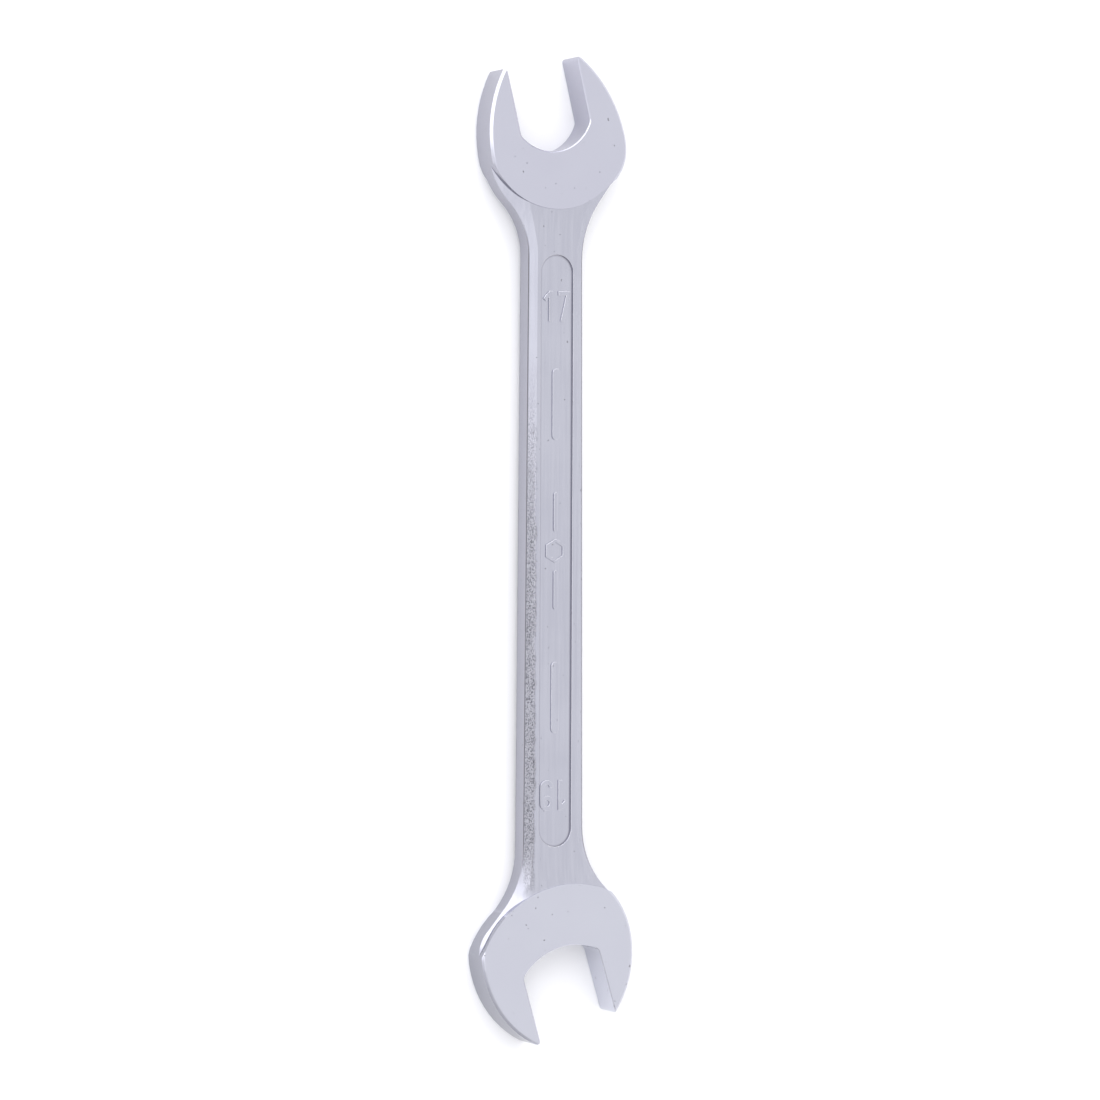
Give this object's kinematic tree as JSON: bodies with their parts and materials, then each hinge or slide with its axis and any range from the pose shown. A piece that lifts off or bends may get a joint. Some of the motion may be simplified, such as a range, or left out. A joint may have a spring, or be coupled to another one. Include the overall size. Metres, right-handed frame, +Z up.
{
  "type": "double open-ended wrench",
  "caption": "Double open-ended wrench for 17 mm and 19 mm hexagons, with angled jaws, a bevelled shank and a recessed marking panel on each face.",
  "frame": {"origin": "middle of the wrench's outline, in the plane of the lower faces of its heads", "axes": "+X along the shank towards the 17 mm end, +Z up out of the upper marked face, +Y across the shank on the side that the 17 mm mouth turns towards"},
  "size_m": [0.2156, 0.0368, 0.0078],
  "materials": {
    "plated_steel": "satin"
  },
  "bodies": {
    "root": {"wrench_forging": "plated_steel"}
  },
  "joints": []
}
